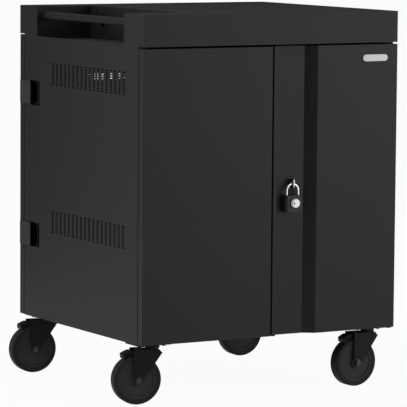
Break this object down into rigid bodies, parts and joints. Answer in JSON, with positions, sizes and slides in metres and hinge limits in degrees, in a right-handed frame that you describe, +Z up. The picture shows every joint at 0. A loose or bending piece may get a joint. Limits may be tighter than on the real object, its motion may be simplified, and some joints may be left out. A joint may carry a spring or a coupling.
{
  "type": "charging cabinet",
  "caption": "Black sheet-metal charging cabinet on braked casters, with front doors, a padlock on a recessed strip, a rear door, device slots and a handle well in its top.",
  "frame": {"origin": "on the floor under the middle of the bounding box", "axes": "+Z up, -Y out of the front doors, +X to the right seen from the front"},
  "size_m": [0.8116, 0.7046, 0.994],
  "materials": {
    "cabinet_paint": "semi-gloss black powder coat with a fine texture",
    "handle_paint": "satin black powder coat",
    "hinge_paint": "dark grey painted steel",
    "divider_plastic": "moulded dark grey plastic",
    "strip_plastic": "moulded black plastic",
    "rocker_plastic": "polished black plastic",
    "cover_paint": "grey powder coat",
    "inlet_plastic": "moulded black plastic",
    "contact_brass": "plain brass",
    "screw_steel": "zinc-plated steel",
    "black_screw": "blackened steel",
    "breaker_plastic": "moulded black plastic",
    "button_plastic": "polished black plastic",
    "badge_metal": "satin silver",
    "staple_steel": "zinc-plated steel",
    "shackle_chrome": "polished chrome",
    "padlock_case": "dark grey enamelled steel",
    "dial_metal": "bright satin metal",
    "lock_chrome": "satin chrome",
    "caster_steel": "black enamelled steel",
    "axle_steel": "blackened steel",
    "core_plastic": "moulded dark grey plastic",
    "tyre_rubber": "moulded dark rubber",
    "pedal_paint": "black enamelled steel"
  },
  "bodies": {
    "cabinet": {"left_side": "cabinet_paint", "right_side": "cabinet_paint", "hood": "cabinet_paint", "well_tray": "cabinet_paint", "handle_bar": "handle_paint", "base_pan": "cabinet_paint", "inner_roof": "cabinet_paint", "partition": "cabinet_paint", "mid_shelf": "cabinet_paint", "lower_dividers": "divider_plastic", "upper_dividers": "divider_plastic", "power_strip": "strip_plastic", "controller_cover": "cover_paint", "power_inlet": "inlet_plastic", "inlet_pins": "contact_brass", "inlet_screws": "black_screw", "breaker_housing": "breaker_plastic", "pivot_plates": "hinge_paint", "hinge_brackets": "caster_steel", "hinge_pins": "black_screw", "caster_plates": "caster_steel", "caster_bolts": "screw_steel", "caster_backing": "screw_steel"},
    "left_door": {"left_door_pan": "cabinet_paint", "left_door_stiffener": "cabinet_paint", "left_door_pins": "black_screw"},
    "right_door": {"right_door_pan": "cabinet_paint", "right_door_stiffener": "cabinet_paint", "right_door_pins": "black_screw", "badge": "badge_metal", "hasp_staple": "staple_steel"},
    "padlock_shackle": {"padlock_shackle": "shackle_chrome"},
    "padlock_body": {"padlock_body": "padlock_case"},
    "padlock_dial": {"padlock_dial": "dial_metal"},
    "rear_door": {"rear_door_pan": "cabinet_paint", "rear_hinge_arms": "hinge_paint", "rear_lock_barrel": "lock_chrome"},
    "rear_lock_cam": {"rear_lock_cam": "screw_steel"},
    "strip_rocker": {"strip_rocker": "rocker_plastic"},
    "breaker_button": {"breaker_button": "button_plastic"},
    "fork_fl": {"fork_fl": "caster_steel", "axle_fl": "axle_steel"},
    "wheel_fl": {"core_fl": "core_plastic", "tyre_fl": "tyre_rubber"},
    "pedal_fl": {"pedal_fl": "pedal_paint"},
    "fork_fr": {"fork_fr": "caster_steel", "axle_fr": "axle_steel"},
    "wheel_fr": {"core_fr": "core_plastic", "tyre_fr": "tyre_rubber"},
    "pedal_fr": {"pedal_fr": "pedal_paint"},
    "fork_rl": {"fork_rl": "caster_steel", "axle_rl": "axle_steel"},
    "wheel_rl": {"core_rl": "core_plastic", "tyre_rl": "tyre_rubber"},
    "pedal_rl": {"pedal_rl": "pedal_paint"},
    "fork_rr": {"fork_rr": "caster_steel", "axle_rr": "axle_steel"},
    "wheel_rr": {"core_rr": "core_plastic", "tyre_rr": "tyre_rubber"},
    "pedal_rr": {"pedal_rr": "pedal_paint"}
  },
  "joints": [
    {"name": "left_door_swing", "type": "hinge", "parent": "cabinet", "child": "left_door", "pos_m": [-0.3507, -0.31925, 0.5], "axis": [0, 0, -1], "range_deg": [0, 105]},
    {"name": "right_door_swing", "type": "hinge", "parent": "cabinet", "child": "right_door", "pos_m": [0.4003, -0.31925, 0.5], "axis": [0, 0, 1], "range_deg": [0, 105]},
    {"name": "rear_door_swing", "type": "hinge", "parent": "cabinet", "child": "rear_door", "pos_m": [-0.3462, 0.26125, 0.5], "axis": [0, 0, 1], "range_deg": [0, 110]},
    {"name": "rear_lock_turn", "type": "hinge", "parent": "rear_door", "child": "rear_lock_cam", "pos_m": [0.3458, 0.33725, 0.576], "axis": [0, 1, 0], "range_deg": [0, 90]},
    {"name": "padlock_swing", "type": "hinge", "parent": "right_door", "child": "padlock_shackle", "pos_m": [0.0888, -0.33175, 0.5505], "axis": [-1, 0, 0], "range_deg": [0, 50]},
    {"name": "padlock_pull", "type": "slide", "parent": "padlock_shackle", "child": "padlock_body", "axis": [0, 0, -1], "range_m": [0, 0.012]},
    {"name": "padlock_dial_turn", "type": "hinge", "parent": "padlock_body", "child": "padlock_dial", "pos_m": [0.0888, -0.34975, 0.5015], "axis": [0, -1, 0], "continuous": true},
    {"name": "strip_rocker_tip", "type": "hinge", "parent": "cabinet", "child": "strip_rocker", "pos_m": [-0.3112, 0.17075, 0.806], "axis": [-1, 0, 0], "range_deg": [0, 16]},
    {"name": "breaker_push", "type": "slide", "parent": "cabinet", "child": "breaker_button", "axis": [1, 0, 0], "range_m": [0, 0.0025], "stiffness_N_per_m": 400},
    {"name": "swivel_fl", "type": "hinge", "parent": "cabinet", "child": "fork_fl", "pos_m": [-0.3017, -0.28575, 0.14], "axis": [0, 0, 1], "continuous": true},
    {"name": "roll_fl", "type": "hinge", "parent": "fork_fl", "child": "wheel_fl", "pos_m": [-0.34082, -0.27743, 0.0635], "axis": [0.2079, 0.9781, 0], "continuous": true},
    {"name": "brake_fl", "type": "hinge", "parent": "fork_fl", "child": "pedal_fl", "pos_m": [-0.34278, -0.27702, 0.1335], "axis": [0.2079, 0.9781, 0], "range_deg": [0, 12]},
    {"name": "swivel_fr", "type": "hinge", "parent": "cabinet", "child": "fork_fr", "pos_m": [0.3513, -0.28575, 0.14], "axis": [0, 0, 1], "continuous": true},
    {"name": "roll_fr", "type": "hinge", "parent": "fork_fr", "child": "wheel_fr", "pos_m": [0.31133, -0.28715, 0.0635], "axis": [-0.0349, 0.9994, 0], "continuous": true},
    {"name": "brake_fr", "type": "hinge", "parent": "fork_fr", "child": "pedal_fr", "pos_m": [0.30933, -0.28722, 0.1335], "axis": [-0.0349, 0.9994, 0], "range_deg": [0, 12]},
    {"name": "swivel_rl", "type": "hinge", "parent": "cabinet", "child": "fork_rl", "pos_m": [-0.3017, 0.30025, 0.14], "axis": [0, 0, 1], "continuous": true},
    {"name": "roll_rl", "type": "hinge", "parent": "fork_rl", "child": "wheel_rl", "pos_m": [-0.3414, 0.30512, 0.0635], "axis": [0.1219, 0.9925, 0], "continuous": true},
    {"name": "brake_rl", "type": "hinge", "parent": "fork_rl", "child": "pedal_rl", "pos_m": [-0.34338, 0.30537, 0.1335], "axis": [0.1219, 0.9925, 0], "range_deg": [0, 12]},
    {"name": "swivel_rr", "type": "hinge", "parent": "cabinet", "child": "fork_rr", "pos_m": [0.3513, 0.30025, 0.14], "axis": [0, 0, 1], "continuous": true},
    {"name": "roll_rr", "type": "hinge", "parent": "fork_rr", "child": "wheel_rr", "pos_m": [0.31136, 0.30234, 0.0635], "axis": [0.0523, 0.9986, 0], "continuous": true},
    {"name": "brake_rr", "type": "hinge", "parent": "fork_rr", "child": "pedal_rr", "pos_m": [0.30936, 0.30245, 0.1335], "axis": [0.0523, 0.9986, 0], "range_deg": [0, 12]}
  ]
}
